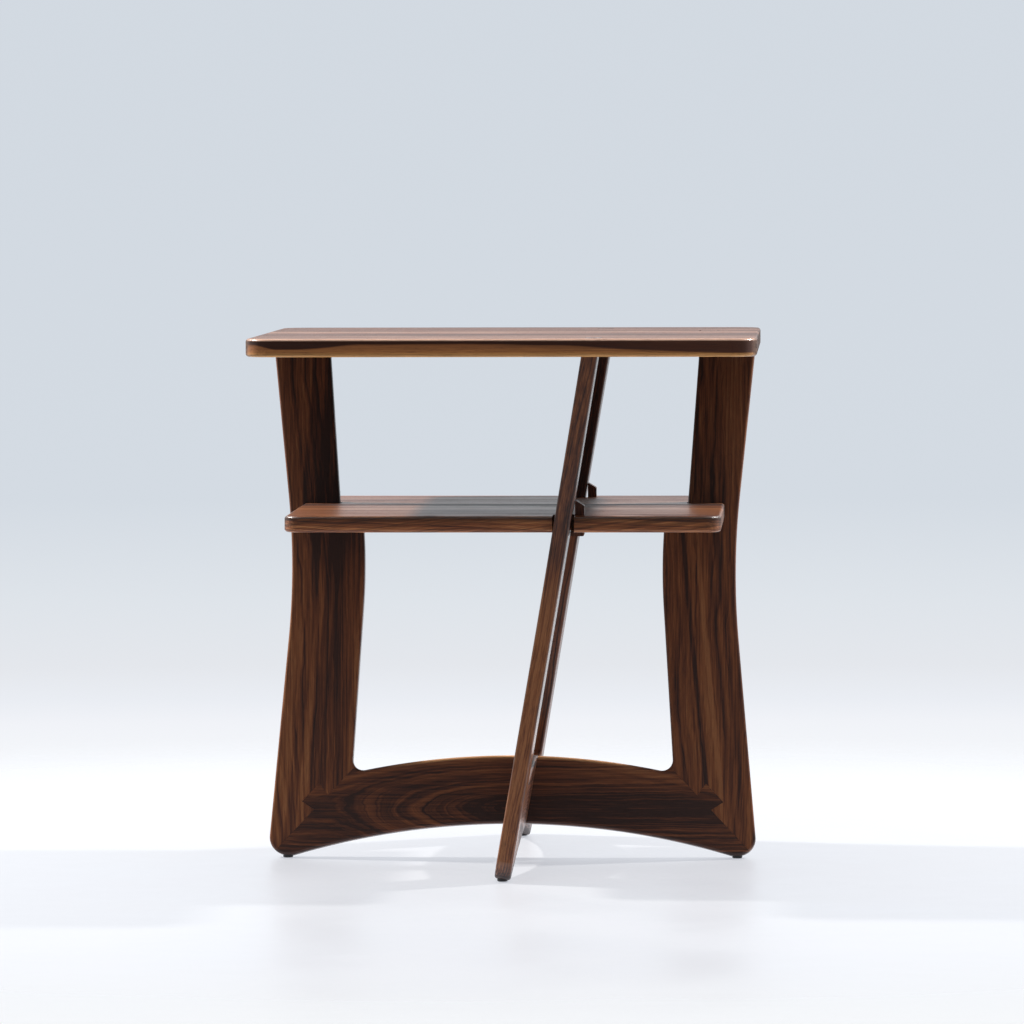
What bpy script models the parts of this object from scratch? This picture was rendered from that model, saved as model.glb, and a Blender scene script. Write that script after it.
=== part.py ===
"""Photo album stand: a square walnut stand of two leaning U-frames, lapped through each other at the floor,
with a shelf seated in the frames' waists and a top on wedged through tenons.

Frame: origin on the floor under the middle of the top, +X right, +Y to the back, +Z up, metres.
The main frame's boards lie along X and lean towards +Y. The cross frame is the same frame turned by
-90 degrees about Z, so that it lies along Y and leans towards +X.
"""

import math

import bmesh
import bpy
from mathutils import Matrix, Vector

MM = 0.001
GAP = 0.3 * MM                      # between pieces that touch
FAR = 700 * MM                      # past the end of everything, for cutters

# Overall
HEIGHT = 600 * MM
LEAN = math.radians(9.6)

# Top and shelf
TOP_SIDE = 564 * MM
TOP_THICK = 20 * MM
TOP_CORNER = 32 * MM
TOP_STAVES = 4
SHELF_SIDE = 484 * MM
SHELF_THICK = 18 * MM
SHELF_CORNER = 20 * MM
SHELF_TOP_Z = 403 * MM
SHELF_STAVES = 4
PANEL_ROUND = 3.5 * MM

# Frames: u runs along the foot line, w up the leaning board
BOARD = 18 * MM
BOARD_ROUND = 2.5 * MM
FOOT_U = 279.8 * MM                 # outer corner of a foot
FOOT_ROUND = 20 * MM
FOOT_W = 2.5 * MM                   # underside of a foot
WAIST_W = 334 * MM
WAIST_OUTER_U = 251.1 * MM
WAIST_INNER_U = 169.5 * MM
WAIST_OUTER_ROUND = 870 * MM
WAIST_INNER_ROUND = 700 * MM
HEAD_W = 612 * MM
HEAD_OUTER_U = 280 * MM
HEAD_INNER_U = 214.8 * MM
SEAT_U = 199.2 * MM                 # inner edge of the leg where the shelf sits
SEAT_EXTRA = 4 * MM                 # wood left above the seat before it is cut level
SEAT_START = 100 * MM               # cuts at the leg's inside start here, clear of the wood
CREST_W = 116.8 * MM                # top of the rail at the middle
CREST_RADIUS = 842 * MM
CREST_SPAN = 166 * MM               # half the width of the crest's arc
ARCH_W = 39 * MM                    # underside of the rail at the middle
ARCH_RADIUS = 876 * MM
ARCH_SPAN = 248 * MM                # half the width of the arch's arc
RAIL_CORNER_U = 184.1 * MM
RAIL_CORNER_ROUND = 12 * MM

# Stepped mitre between leg and rail, with a flared tongue on the rail
MITRE_INNER = Vector((181.2, 103.0)) * MM
MITRE_OUTER = Vector((271.5, 7.0)) * MM
TONGUE_START = 44 * MM              # from the inner corner, along the mitre
TONGUE_BASE = 23 * MM
TONGUE_LENGTH = 16.5 * MM
TONGUE_FLARE = 3 * MM

# Through tenons and their wedges
TENON_OUTER_U = 255.7 * MM
TENON_INNER_U = 212.7 * MM
WEDGE_DEPTH = 15 * MM
WEDGE_THICK = 2.6 * MM
WEDGE_TIP = 1.0 * MM
KERF = WEDGE_THICK + 2 * GAP

# Shelf notches and keys
NOTCH_LOW = 55.6 * MM               # the notch runs between these on the side that the leg leans to
NOTCH_HIGH = 79.8 * MM
KEY_THICK = 10 * MM
KEY_NEAR = 80.3 * MM                # the key's stem starts here
KEY_INNER_U = 202 * MM
KEY_OUTER_U = 222 * MM
KEY_FALL = math.radians(31)         # slope of the key's top
KEY_ABOVE = 17 * MM                 # above the shelf, at its higher side
KEY_BELOW = 5 * MM
HEEL_REACH = 5.5 * MM
KEY_ROUND = 2 * MM
POCKET_OVERLAP = 1 * MM             # the key's pocket runs this far into the notch

# Glides
GLIDE_U = 257 * MM
GLIDE_RADIUS = 5.8 * MM
GLIDE_HEIGHT = 5.2 * MM
GLIDE_FLAT_RADIUS = 4 * MM
GLIDE_CUP_RADIUS = 3.4 * MM
GLIDE_CHAMFER_Z = (0.8 * MM, 2.2 * MM)
GLIDE_CHAMFER = 0.5 * MM
GLIDE_FLOOR = 1.8 * MM
NAIL_HEAD_RADIUS = 3.0 * MM
NAIL_HEAD_THICK = 1.2 * MM
NAIL_RADIUS = 1.2 * MM
NAIL_TOP = 18 * MM
NAIL_POINT = 3.6 * MM
BELOW = -5 * MM                     # cutters start here, under the floor line
ROUND_SEGMENTS = 20

LEAN_SLOPE = math.tan(LEAN)
TOP_UNDER_Z = HEIGHT - TOP_THICK
SHELF_UNDER_Z = SHELF_TOP_Z - SHELF_THICK
SEAT_W = (SHELF_UNDER_Z + SEAT_EXTRA) / math.cos(LEAN)
CROSS_TURN = -math.pi / 2
RUN_ON = 60 * MM                    # how far the mitre's line runs on past the wood


# ---------------------------------------------------------------- scene and materials

def clear_scene():
    for obj in list(bpy.data.objects):
        bpy.data.objects.remove(obj)


def new_collection(name):
    collection = bpy.data.collections.new(name)
    bpy.context.scene.collection.children.link(collection)
    return collection


def new_material(name, colour, roughness, metallic=0.0):
    material = bpy.data.materials.new(name)
    material.use_nodes = True
    shader = material.node_tree.nodes["Principled BSDF"]
    shader.inputs["Base Color"].default_value = (*colour, 1.0)
    shader.inputs["Roughness"].default_value = roughness
    shader.inputs["Metallic"].default_value = metallic
    return material


clear_scene()
PARTS = new_collection("photo_album_stand")
CUTTERS = new_collection("cutters")
WALNUT_FRAME = new_material("walnut_frame", (0.125, 0.052, 0.028), 0.42)
WALNUT_TOP = new_material("walnut_top", (0.20, 0.095, 0.055), 0.36)
WALNUT_SHELF = new_material("walnut_shelf", (0.17, 0.08, 0.045), 0.36)
WALNUT_KEY = new_material("walnut_key", (0.09, 0.04, 0.022), 0.45)
BLACK_PLASTIC = new_material("black_plastic", (0.012, 0.012, 0.013), 0.4)
STEEL = new_material("steel", (0.55, 0.55, 0.56), 0.3, 1.0)


# ---------------------------------------------------------------- shape helpers

def as_cutter(obj):
    obj.hide_render = True
    obj.display_type = "WIRE"
    return obj


def add_object(name, mesh, material=None):
    obj = bpy.data.objects.new(name, mesh)
    if material is None:
        CUTTERS.objects.link(obj)
        return as_cutter(obj)
    mesh.materials.clear()
    mesh.materials.append(material)
    PARTS.objects.link(obj)
    return obj


def add_box(name, low, high, material=None):
    """A box between two corners."""
    low, high = Vector(low), Vector(high)
    bm = bmesh.new()
    bmesh.ops.create_cube(bm, size=1.0)
    bmesh.ops.scale(bm, vec=high - low, verts=bm.verts)
    bmesh.ops.translate(bm, vec=(low + high) / 2, verts=bm.verts)
    mesh = bpy.data.meshes.new(name)
    bm.to_mesh(mesh)
    bm.free()
    return add_object(name, mesh, material)


def fillet(before, corner, after, radius, tolerance=0.12 * MM):
    """Points of the arc that rounds a corner, from the first tangent point to the second."""
    a = (before - corner).normalized()
    b = (after - corner).normalized()
    half = a.angle(b) / 2
    centre = corner + (a + b).normalized() * radius / math.sin(half)
    start = corner + a * radius / math.tan(half) - centre
    sweep = start.angle_signed(corner + b * radius / math.tan(half) - centre)
    steps = max(2, math.ceil(abs(sweep) / (2 * math.acos(1 - tolerance / radius))))
    turns = (Matrix.Rotation(-sweep * i / steps, 2) for i in range(steps + 1))
    return [centre + turn @ start for turn in turns]


def rounded_outline(corners):
    """Closed outline from (x, y, radius) corners."""
    spots = [Vector(corner[:2]) for corner in corners]
    points = []
    for i, (x, y, radius) in enumerate(corners):
        if radius:
            points += fillet(spots[i - 1], spots[i], spots[(i + 1) % len(spots)], radius)
        else:
            points.append(spots[i])
    return points


def add_plate(name, points, thickness, material=None):
    """A flat outline, thickened evenly to both sides of its plane."""
    curve = bpy.data.curves.new(name, "CURVE")
    curve.dimensions = "2D"
    curve.fill_mode = "BOTH"
    curve.extrude = thickness / 2
    spline = curve.splines.new("POLY")
    spline.points.add(len(points) - 1)
    for place, point in zip(spline.points, points):
        place.co = (point.x, point.y, 0, 1)
    spline.use_cyclic_u = True
    outline = bpy.data.objects.new(name + "_outline", curve)
    bpy.context.scene.collection.objects.link(outline)
    bpy.context.view_layer.update()
    mesh = bpy.data.meshes.new_from_object(outline.evaluated_get(bpy.context.evaluated_depsgraph_get()))
    bpy.data.objects.remove(outline)
    bm = bmesh.new()
    bm.from_mesh(mesh)
    bmesh.ops.remove_doubles(bm, verts=bm.verts, dist=0.00001)
    bmesh.ops.dissolve_limit(bm, angle_limit=math.radians(0.1), verts=bm.verts, edges=bm.edges)
    bmesh.ops.recalc_face_normals(bm, faces=bm.faces)
    bm.to_mesh(mesh)
    bm.free()
    return add_object(name, mesh, material)


def round_edges(obj, width, segments=2):
    bevel = obj.modifiers.new("round_edges", "BEVEL")
    bevel.width = width
    bevel.segments = segments
    bevel.limit_method = "ANGLE"
    bevel.angle_limit = math.radians(40)


def boolean(obj, other, operation="DIFFERENCE"):
    """Cuts an object by a cutter, or keeps only what the cutter holds."""
    modifier = obj.modifiers.new(other.name, "BOOLEAN")
    modifier.operation = operation
    modifier.solver = "EXACT"
    modifier.object = other


def turned(name, profile, material=None):
    """A turned piece about Z from (radius, z) points that run down its outer side."""
    bm = bmesh.new()
    verts = [bm.verts.new((radius, 0, z)) for radius, z in profile]
    for a, b in zip(verts, verts[1:]):
        bm.edges.new((a, b))
    mesh = bpy.data.meshes.new(name)
    bm.to_mesh(mesh)
    bm.free()
    obj = add_object(name, mesh, material)
    screw = obj.modifiers.new("turn", "SCREW")
    screw.steps = ROUND_SEGMENTS
    screw.render_steps = ROUND_SEGMENTS
    screw.use_merge_vertices = True
    screw.merge_threshold = 0.00001
    screw.use_smooth_shade = True
    return obj


# ---------------------------------------------------------------- places on a leaning frame

def frame_turn(cross):
    """World matrix of a frame's own upright axes: x along the foot line, y the way that it leans."""
    return Matrix.Rotation(CROSS_TURN if cross else 0, 4, "Z")


def board_place(cross):
    """World matrix of a board's plane: plate x is u, plate y is w, plate z faces away from the lean."""
    return frame_turn(cross) @ Matrix.Rotation(math.pi / 2 - LEAN, 4, "X")


def place(obj, matrix):
    obj.matrix_world = matrix
    return obj


def leaning_box(name, cross, u, thickness, z):
    """Cutter between two u, and between two heights, with its walls parallel to a frame's board.

    thickness is measured square to the board.
    """
    half = thickness / math.cos(LEAN) / 2
    obj = add_box(name, (u[0], -half, z[0]), (u[1], half, z[1]))
    shear = Matrix.Identity(4)
    shear[1][2] = LEAN_SLOPE
    obj.data.transform(shear)
    return place(obj, frame_turn(cross))


def upright_box(name, cross, u, y, z):
    """Cutter with level and upright faces, in a frame's own upright axes."""
    obj = add_box(name, (u[0], y[0], z[0]), (u[1], y[1], z[1]))
    return place(obj, frame_turn(cross))


# ---------------------------------------------------------------- outlines

def arc_tangents(middle, radius, half_span):
    """Where an arc's two end tangents meet above its middle, and how steeply they fall."""
    turn = math.asin(half_span / radius)
    return middle + radius * (1 / math.cos(turn) - 1), math.tan(turn)


def frame_outline():
    """One U-frame, legs, rail and heads, in its own plane."""
    arch_apex, arch_fall = arc_tangents(ARCH_W, ARCH_RADIUS, ARCH_SPAN)
    crest_apex, crest_fall = arc_tangents(CREST_W, CREST_RADIUS, CREST_SPAN)
    head_slope = (HEAD_INNER_U - SEAT_U) / (HEAD_W - SEAT_W)
    right = [
        ((arch_apex - FOOT_W) / arch_fall, FOOT_W, 0),
        (FOOT_U, FOOT_W, FOOT_ROUND),
        (WAIST_OUTER_U, WAIST_W, WAIST_OUTER_ROUND),
        (HEAD_OUTER_U, HEAD_W, 0),
        (HEAD_INNER_U, HEAD_W, 0),
        (SEAT_U, SEAT_W, 0),
        (WAIST_INNER_U + head_slope * (SEAT_W - WAIST_W), SEAT_W, 0),
        (WAIST_INNER_U, WAIST_W, WAIST_INNER_ROUND),
        (RAIL_CORNER_U, crest_apex - crest_fall * RAIL_CORNER_U, RAIL_CORNER_ROUND),
    ]
    left = [(-u, w, radius) for u, w, radius in reversed(right)]
    return rounded_outline([(0, arch_apex, ARCH_RADIUS), *right, (0, crest_apex, CREST_RADIUS), *left])


def mitre_line():
    """The stepped mitre of the right corner, from inside to outside, run on past the wood at both ends."""
    along = (MITRE_OUTER - MITRE_INNER).normalized()
    out = Vector((-along.y, along.x))
    run_on = along * RUN_ON
    base_start = MITRE_INNER + along * TONGUE_START
    base_end = base_start + along * TONGUE_BASE
    return [
        MITRE_INNER - run_on,
        base_start,
        base_start + out * TONGUE_LENGTH - along * TONGUE_FLARE,
        base_end + out * TONGUE_LENGTH + along * TONGUE_FLARE,
        base_end,
        MITRE_OUTER + run_on,
    ]


def offset_line(points, distance):
    """The line moved sideways by a distance, to its left when positive, with its corners kept sharp."""
    moved = []
    for i, point in enumerate(points):
        before = (point - points[i - 1]).normalized() if i else None
        after = (points[i + 1] - point).normalized() if i + 1 < len(points) else None
        before, after = before or after, after or before
        normal_a = Vector((-before.y, before.x))
        normal_b = Vector((-after.y, after.x))
        middle = (normal_a + normal_b).normalized()
        moved.append(point + middle * distance / middle.dot(normal_a))
    return moved


def mirrored(points):
    return [Vector((-point.x, point.y)) for point in reversed(points)]


# ---------------------------------------------------------------- frames

def add_frame_piece(name, cross, region, material):
    """The part of the frame blank that lies inside a region of its plane."""
    piece = add_plate(name, FRAME_OUTLINE, BOARD, material)
    round_edges(piece, BOARD_ROUND)
    place(piece, board_place(cross))
    keep = place(add_plate(name + "_region", region, 4 * BOARD), board_place(cross))
    boolean(piece, keep, "INTERSECT")
    return piece


def leg_region(side):
    """Everything outside the mitre, on the right (side 1) or the left (side -1)."""
    line = offset_line(mitre_line(), GAP / 2)
    corner = Vector((FAR, line[-1].y))
    region = [*line, corner, Vector((FAR, FAR)), Vector((line[0].x, FAR))]
    return region if side > 0 else mirrored(region)


def rail_region():
    line = offset_line(mitre_line(), -GAP / 2)
    return [*line, *mirrored(line)]


def across(side, inner, outer):
    """Low and high u between two distances from the middle, on the right (side 1) or the left (side -1)."""
    return sorted((side * inner, side * outer))


def tenon_middle(side):
    return side * (TENON_OUTER_U + TENON_INNER_U) / 2


def shape_leg(leg, cross, side, name):
    """Level seat for the shelf, level shoulder, tenon and kerf for its wedge."""
    everywhere = (-FAR, FAR)
    above = (TOP_UNDER_Z - GAP, FAR)
    seat_heights = (SHELF_UNDER_Z - GAP, SHELF_TOP_Z)
    cuts = [
        ("seat", across(side, SEAT_START, SEAT_U), seat_heights),
        ("shoulder", across(side, TENON_OUTER_U, FAR), above),
        ("inside", across(side, SEAT_START, TENON_INNER_U), above),
        ("top", everywhere, (HEIGHT, FAR)),
    ]
    for cut, u, heights in cuts:
        boolean(leg, upright_box(f"{name}_{cut}", cross, u, everywhere, heights))
    depth = (HEIGHT - WEDGE_DEPTH - GAP, FAR)
    if cross:
        u = across(side, TENON_INNER_U - GAP, TENON_OUTER_U + GAP)
        kerf = leaning_box(name + "_kerf", cross, u, KERF, depth)
    else:
        middle = tenon_middle(side)
        kerf = leaning_box(name + "_kerf", cross, (middle - KERF / 2, middle + KERF / 2), 2 * BOARD, depth)
    boolean(leg, kerf)


def turn_upright(middle):
    """Stands a plate up with its y along Z and its x along the frame's own y, at this u."""
    return Matrix(((0, 0, 1, middle), (1, 0, 0, 0), (0, 1, 0, 0), (0, 0, 0, 1)))


def add_wedge(name, cross, side):
    """A wedge in the tenon's end. Both frames' wedges lie along Y, across the grain of the top."""
    low = (HEIGHT - WEDGE_DEPTH + BOARD / 2 * math.sin(LEAN)) / math.cos(LEAN)
    taper = [Vector((-WEDGE_TIP / 2, low)), Vector((WEDGE_TIP / 2, low)),
             Vector((WEDGE_THICK / 2, HEAD_W)), Vector((-WEDGE_THICK / 2, HEAD_W))]
    middle = tenon_middle(side)
    if cross:
        wedge = add_plate(name, taper, TENON_OUTER_U - TENON_INNER_U, WALNUT_KEY)
        place(wedge, frame_turn(cross) @ Matrix.Rotation(-LEAN, 4, "X") @ turn_upright(middle))
    else:
        wedge = add_plate(name, taper, BOARD, WALNUT_KEY)
        place(wedge, board_place(cross) @ Matrix.Translation((middle, 0, 0)))
    boolean(wedge, upright_box(name + "_trim", cross, (-FAR, FAR), (-FAR, FAR), (HEIGHT, FAR)))


def glide_spot(cross, side):
    """Where a glide's axis stands, on the board's middle plane."""
    return frame_turn(cross) @ Matrix.Translation((side * GLIDE_U, FOOT_W * LEAN_SLOPE, 0))


def add_glide(name, cross, side, foot):
    """Black glide, the nail that holds it, and their seat in the foot."""
    spot = glide_spot(cross, side)
    glide = turned("glide_" + name, [
        (0, GLIDE_FLOOR), (GLIDE_CUP_RADIUS, GLIDE_FLOOR), (GLIDE_CUP_RADIUS, GLIDE_HEIGHT),
        (GLIDE_RADIUS, GLIDE_HEIGHT), (GLIDE_RADIUS, GLIDE_CHAMFER_Z[1]),
        (GLIDE_RADIUS - GLIDE_CHAMFER, GLIDE_CHAMFER_Z[0]), (GLIDE_FLAT_RADIUS, 0), (0, 0)], BLACK_PLASTIC)
    place(glide, spot)
    head = GLIDE_FLOOR + GAP
    nail = turned("glide_nail_" + name, [
        (0, NAIL_TOP), (NAIL_RADIUS, NAIL_TOP - NAIL_POINT), (NAIL_RADIUS, head + NAIL_HEAD_THICK),
        (NAIL_HEAD_RADIUS, head + NAIL_HEAD_THICK), (NAIL_HEAD_RADIUS, head), (0, head)], STEEL)
    place(nail, spot)
    reach = GLIDE_HEIGHT + GAP
    bore = NAIL_TOP + GAP
    cutter = turned("glide_seat_" + name, [
        (0, bore), (NAIL_RADIUS + GAP, bore), (NAIL_RADIUS + GAP, reach),
        (GLIDE_RADIUS + GAP, reach), (GLIDE_RADIUS + GAP, BELOW), (0, BELOW)])
    place(cutter, spot)
    boolean(foot, cutter)


FRAME_OUTLINE = frame_outline()
LAP_Z = (CREST_W + ARCH_W) / 2 * math.cos(LEAN)
LAP_SPAN = (-60 * MM, 60 * MM)      # wide enough for the whole thickness of the other rail
LEGS = {                            # name: cross frame, side, short name
    "main_leg_left": (False, -1, "left"),
    "main_leg_right": (False, 1, "right"),
    "cross_leg_front": (True, 1, "front"),
    "cross_leg_back": (True, -1, "back"),
}


def build_frames():
    rails = {}
    for cross, name in ((False, "main_rail"), (True, "cross_rail")):
        rail = add_frame_piece(name, cross, rail_region(), WALNUT_FRAME)
        heights = (-FAR, LAP_Z + GAP / 2) if cross else (LAP_Z - GAP / 2, FAR)
        boolean(rail, leaning_box(name + "_lap", not cross, LAP_SPAN, BOARD + 2 * GAP, heights))
        rails[cross] = rail
    for name, (cross, side, short) in LEGS.items():
        leg = add_frame_piece(name, cross, leg_region(side), WALNUT_FRAME)
        shape_leg(leg, cross, side, name)
        add_wedge("tenon_wedge_" + short, cross, side)
        add_glide(short, cross, side, rails[cross])


# ---------------------------------------------------------------- top and shelf

def panel_outline(side, corner):
    half = side / 2
    return rounded_outline([(half, -half, corner), (half, half, corner),
                            (-half, half, corner), (-half, -half, corner)])


def add_staves(name, side, corner, thickness, top_z, count, material):
    """A glued-up board as separate staves that run along X, numbered from the front."""
    width = side / count
    staves = []
    for i in range(count):
        stave = add_plate(f"{name}_{i + 1}", panel_outline(side, corner), thickness, material)
        round_edges(stave, PANEL_ROUND)
        place(stave, Matrix.Translation((0, 0, top_z - thickness / 2)))
        low = -side / 2 + i * width + GAP / 2
        high = low + width - GAP
        if i == 0:
            low = -FAR
        if i == count - 1:
            high = FAR
        boolean(stave, add_box(f"{name}_{i + 1}_strip", (-FAR, low, 0), (FAR, high, FAR)), "INTERSECT")
        staves.append((stave, low, high))
    return staves


def stave_at(staves, y):
    return next(stave for stave, low, high in staves if low < y < high)


def frame_spot(cross, u, y):
    """World y of a point given in a frame's own upright axes."""
    return (frame_turn(cross) @ Vector((u, y, 0))).y


def build_top():
    staves = add_staves("top_stave", TOP_SIDE, TOP_CORNER, TOP_THICK, HEIGHT, TOP_STAVES, WALNUT_TOP)
    heights = (TOP_UNDER_Z - TOP_THICK, HEIGHT + TOP_THICK)
    for cross, side, short in LEGS.values():
        u = across(side, TENON_INNER_U - GAP, TENON_OUTER_U + GAP)
        mortise = leaning_box("mortise_" + short, cross, u, BOARD + 2 * GAP, heights)
        boolean(stave_at(staves, frame_spot(cross, tenon_middle(side), HEIGHT * LEAN_SLOPE)), mortise)


def build_shelf():
    staves = add_staves("shelf_stave", SHELF_SIDE, SHELF_CORNER, SHELF_THICK, SHELF_TOP_Z, SHELF_STAVES,
                        WALNUT_SHELF)
    heights = (SHELF_UNDER_Z - SHELF_THICK, SHELF_TOP_Z + SHELF_THICK)
    pocket_y = (NOTCH_HIGH - POCKET_OVERLAP, KEY_NEAR + KEY_THICK + GAP)
    for cross, side, short in LEGS.values():
        stave = stave_at(staves, frame_spot(cross, side * KEY_INNER_U, NOTCH_HIGH))
        notch_u = across(side, SEAT_U - GAP, FAR)
        boolean(stave, upright_box("notch_" + short, cross, notch_u, (NOTCH_LOW, NOTCH_HIGH), heights))
        pocket_u = across(side, KEY_INNER_U - GAP, KEY_OUTER_U + GAP)
        boolean(stave, upright_box("pocket_" + short, cross, pocket_u, pocket_y, heights))
        add_key("shelf_key_" + short, cross, side)


def add_key(name, cross, side):
    """Upright key beside a leg: a stem through the shelf with a sloped top, and a heel under the shelf."""
    stem_left, stem_right = KEY_NEAR, KEY_NEAR + KEY_THICK
    top = SHELF_TOP_Z + KEY_ABOVE
    heel_top = SHELF_UNDER_Z - GAP
    outline = rounded_outline([
        (stem_left - HEEL_REACH, SHELF_UNDER_Z - KEY_BELOW, 0),
        (stem_right, SHELF_UNDER_Z - KEY_BELOW, KEY_ROUND),
        (stem_right, top - KEY_THICK * math.tan(KEY_FALL), KEY_ROUND),
        (stem_left, top, KEY_ROUND / 2),
        (stem_left, heel_top, 0),
        (stem_left - HEEL_REACH, heel_top, 0),
    ])
    key = add_plate(name, outline, KEY_OUTER_U - KEY_INNER_U, WALNUT_KEY)
    middle = side * (KEY_OUTER_U + KEY_INNER_U) / 2
    place(key, frame_turn(cross) @ turn_upright(middle))


build_frames()
build_top()
build_shelf()
bpy.context.view_layer.update()
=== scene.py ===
"""The finished look of the photo album stand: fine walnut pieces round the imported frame, camera and light.

Lengths are metres. Each board is built in its own plane and then set in place, so that its grain follows its
own axes. In a leaning frame u runs along the foot line and w up the board.
"""

import math

import bmesh
import bpy
from mathutils import Matrix, Vector


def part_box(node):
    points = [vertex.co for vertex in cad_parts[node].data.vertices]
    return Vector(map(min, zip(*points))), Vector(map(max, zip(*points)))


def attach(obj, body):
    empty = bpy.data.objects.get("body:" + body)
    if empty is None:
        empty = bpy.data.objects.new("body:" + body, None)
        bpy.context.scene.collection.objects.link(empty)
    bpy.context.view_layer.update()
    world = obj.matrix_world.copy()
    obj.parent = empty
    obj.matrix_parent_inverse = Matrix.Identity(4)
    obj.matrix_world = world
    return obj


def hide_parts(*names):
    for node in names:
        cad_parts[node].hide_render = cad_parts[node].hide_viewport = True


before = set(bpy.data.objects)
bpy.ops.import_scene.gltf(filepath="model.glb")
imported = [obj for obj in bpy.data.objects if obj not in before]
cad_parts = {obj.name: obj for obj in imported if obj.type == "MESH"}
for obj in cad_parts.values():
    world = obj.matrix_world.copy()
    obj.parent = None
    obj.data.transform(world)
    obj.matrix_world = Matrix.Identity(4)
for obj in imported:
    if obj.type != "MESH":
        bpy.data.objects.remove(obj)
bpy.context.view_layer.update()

MM = 0.001
JOINT = 0.12 * MM                   # visible gap at a glued joint
GLUE = 0.03 * MM                    # between the staves of a glued-up board
CLEAR = 0.3 * MM                    # between pieces that slide together
FAR = 0.7                           # past the end of everything, for cutters
MERGE = 0.01 * MM                   # points nearer than this are one
FINE_MERGE = 0.005 * MM
FLAT_ANGLE = math.radians(0.1)      # faces that meet flatter than this are one
SHARP_ANGLE = math.radians(32)      # edges sharper than this stay crisp in the shading

# Overall, read from the frame
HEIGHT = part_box("top_stave_1")[1].z
TOP_UNDER_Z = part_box("top_stave_1")[0].z
TOP_SIDE = 2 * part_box("top_stave_1")[1].x
SHELF_TOP_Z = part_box("shelf_stave_1")[1].z
SHELF_UNDER_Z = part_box("shelf_stave_1")[0].z
SHELF_SIDE = 2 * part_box("shelf_stave_1")[1].x
TOP_CORNER = 32 * MM
SHELF_CORNER = 20 * MM
STAVES = 4
PANEL_ROUND = 3.5 * MM

# Frames
LEAN = math.radians(9.6)
BOARD = 18 * MM
BOARD_ROUND = 3.0 * MM
FOOT_U = 279.8 * MM
FOOT_ROUND = 20 * MM
FOOT_W = 2.5 * MM
WAIST_W = 334 * MM
WAIST_OUTER_U = 251.1 * MM
WAIST_INNER_U = 169.5 * MM
WAIST_OUTER_ROUND = 870 * MM
WAIST_INNER_ROUND = 700 * MM
HEAD_W = 612 * MM
HEAD_OUTER_U = 280 * MM
HEAD_INNER_U = 214.8 * MM
SEAT_U = 199.2 * MM
SEAT_EXTRA = 4 * MM
SEAT_START = 100 * MM
CREST_W = 116.8 * MM
CREST_RADIUS = 842 * MM
CREST_SPAN = 166 * MM
ARCH_W = 39 * MM
ARCH_RADIUS = 876 * MM
ARCH_SPAN = 248 * MM
RAIL_CORNER_U = 184.1 * MM
RAIL_CORNER_ROUND = 12 * MM
MITRE_INNER = Vector((181.2, 103.0)) * MM
MITRE_OUTER = Vector((271.5, 7.0)) * MM
TONGUE_START = 44 * MM
TONGUE_BASE = 23 * MM
TONGUE_LENGTH = 16.5 * MM
TONGUE_FLARE = 3 * MM
RUN_ON = 60 * MM
LAP_Z = (CREST_W + ARCH_W) / 2 * math.cos(LEAN)
LAP_SPAN = (-60 * MM, 60 * MM)

# Tenons, wedges, notches, keys and glides
TENON_OUTER_U = 255.7 * MM
TENON_INNER_U = 212.7 * MM
WEDGE_DEPTH = 15 * MM
WEDGE_THICK = 2.6 * MM
WEDGE_TIP = 1.0 * MM
KERF = WEDGE_THICK + 2 * JOINT
NOTCH_LOW = 55.6 * MM
NOTCH_HIGH = 79.8 * MM
KEY_THICK = 10 * MM
KEY_NEAR = 80.3 * MM
KEY_INNER_U = 202 * MM
KEY_OUTER_U = 222 * MM
KEY_FALL = math.radians(31)
KEY_ABOVE = 17 * MM
KEY_BELOW = 5 * MM
HEEL_REACH = 5.5 * MM
KEY_ROUND = 2 * MM
POCKET_OVERLAP = 1 * MM
GLIDE_U = 257 * MM
GLIDE_RADIUS = 5.8 * MM
GLIDE_HEIGHT = 5.2 * MM
GLIDE_FLAT_RADIUS = 4 * MM
GLIDE_CUP_RADIUS = 3.4 * MM
GLIDE_FLOOR = 1.8 * MM
GLIDE_RIM = 1.4 * MM                # rounding of the black glides' lower edge

CROSS_TURN = -math.pi / 2
LEAN_SLOPE = math.tan(LEAN)
SEAT_W = (SHELF_UNDER_Z + SEAT_EXTRA) / math.cos(LEAN)


# ---------------------------------------------------------------- shape helpers

CUTTERS = []


def add_object(name, mesh):
    obj = bpy.data.objects.new(name, mesh)
    bpy.context.scene.collection.objects.link(obj)
    return obj


def add_box(name, low, high):
    low, high = Vector(low), Vector(high)
    bm = bmesh.new()
    bmesh.ops.create_cube(bm, size=1.0)
    bmesh.ops.scale(bm, vec=high - low, verts=bm.verts)
    bmesh.ops.translate(bm, vec=(low + high) / 2, verts=bm.verts)
    mesh = bpy.data.meshes.new(name)
    bm.to_mesh(mesh)
    bm.free()
    return add_object(name, mesh)


def fillet(before, corner, after, radius, tolerance=0.012 * MM, most=48):
    """Points of the arc that rounds a corner, from the first tangent point to the second."""
    a = (before - corner).normalized()
    b = (after - corner).normalized()
    half = a.angle(b) / 2
    centre = corner + (a + b).normalized() * radius / math.sin(half)
    start = corner + a * radius / math.tan(half) - centre
    sweep = start.angle_signed(corner + b * radius / math.tan(half) - centre)
    steps = min(most, max(2, math.ceil(abs(sweep) / (2 * math.acos(1 - tolerance / radius)))))
    turns = (Matrix.Rotation(-sweep * i / steps, 2) for i in range(steps + 1))
    return [centre + turn @ start for turn in turns]


def rounded_outline(corners):
    """Closed outline from (x, y, radius) corners."""
    spots = [Vector(corner[:2]) for corner in corners]
    points = []
    for i, (x, y, radius) in enumerate(corners):
        if radius:
            points += fillet(spots[i - 1], spots[i], spots[(i + 1) % len(spots)], radius)
        else:
            points.append(spots[i])
    return points


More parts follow.
